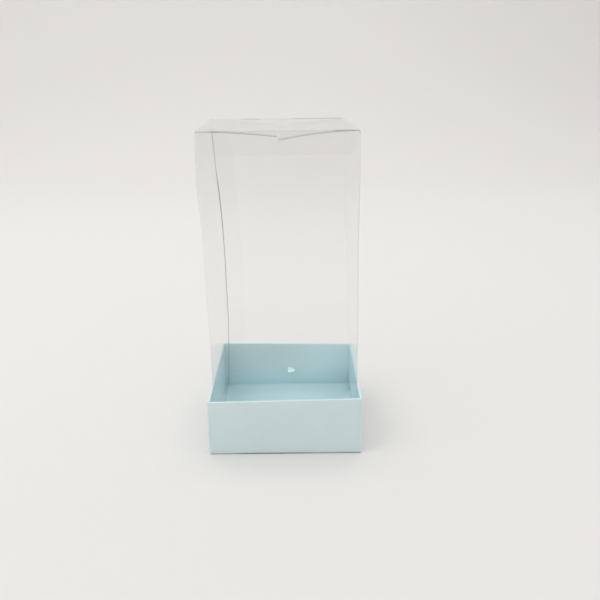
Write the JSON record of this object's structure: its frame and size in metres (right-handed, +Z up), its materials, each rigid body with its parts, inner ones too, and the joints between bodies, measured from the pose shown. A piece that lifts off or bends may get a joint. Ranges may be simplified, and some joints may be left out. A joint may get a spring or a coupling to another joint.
{
  "type": "clear film gift box",
  "caption": "Tall square box: a clear folded film cover with a hinged tuck lid stands in a shallow double-walled card tray and lifts off.",
  "frame": {"origin": "the middle of the tray's underside, on the surface the box stands on", "axes": "+Z up, -Y towards the front panel that the lid tucks in behind, +X to the right seen from the front"},
  "size_m": [0.0856, 0.0856, 0.178],
  "materials": {
    "tray_card": "pale blue card, matt",
    "cover_film": "clear glossy film"
  },
  "bodies": {
    "tray": {"tray_floor": "tray_card", "front_wall": "tray_card", "right_wall": "tray_card", "back_wall": "tray_card", "left_wall": "tray_card", "front_liner": "tray_card", "right_liner": "tray_card", "back_liner": "tray_card", "left_liner": "tray_card", "front_foot_flap": "tray_card", "right_foot_flap": "tray_card", "back_foot_flap": "tray_card", "left_foot_flap": "tray_card", "front_left_ear": "tray_card", "front_right_ear": "tray_card", "back_left_ear": "tray_card", "back_right_ear": "tray_card"},
    "cover": {"cover_front_panel": "cover_film", "cover_right_panel": "cover_film", "cover_back_panel": "cover_film", "cover_left_panel": "cover_film", "cover_glue_flap": "cover_film"},
    "lid": {"lid_panel": "cover_film"},
    "tuck": {"tuck_flap": "cover_film"},
    "left_dust": {"left_dust_flap": "cover_film"},
    "right_dust": {"right_dust_flap": "cover_film"}
  },
  "joints": [
    {"name": "cover_lift", "type": "slide", "parent": "tray", "child": "cover", "axis": [0, 0, 1], "range_m": [0, 0.06]},
    {"name": "lid_hinge", "type": "hinge", "parent": "cover", "child": "lid", "pos_m": [0, 0.03985, 0.17785], "axis": [-1, 0, 0], "range_deg": [0, 180]},
    {"name": "tuck_crease", "type": "hinge", "parent": "lid", "child": "tuck", "pos_m": [0, -0.0392, 0.17785], "axis": [-1, 0, 0], "range_deg": [0, 90]},
    {"name": "left_dust_crease", "type": "hinge", "parent": "cover", "child": "left_dust", "pos_m": [-0.03985, 0, 0.17725], "axis": [0, -1, 0], "range_deg": [0, 90]},
    {"name": "right_dust_crease", "type": "hinge", "parent": "cover", "child": "right_dust", "pos_m": [0.03985, 0, 0.17725], "axis": [0, 1, 0], "range_deg": [0, 90]}
  ],
  "couplings": [
    {"joint": "tuck_crease", "follows": "lid_hinge", "ratio": 0.5},
    {"joint": "left_dust_crease", "follows": "lid_hinge", "ratio": 0.5},
    {"joint": "right_dust_crease", "follows": "lid_hinge", "ratio": 0.5}
  ]
}
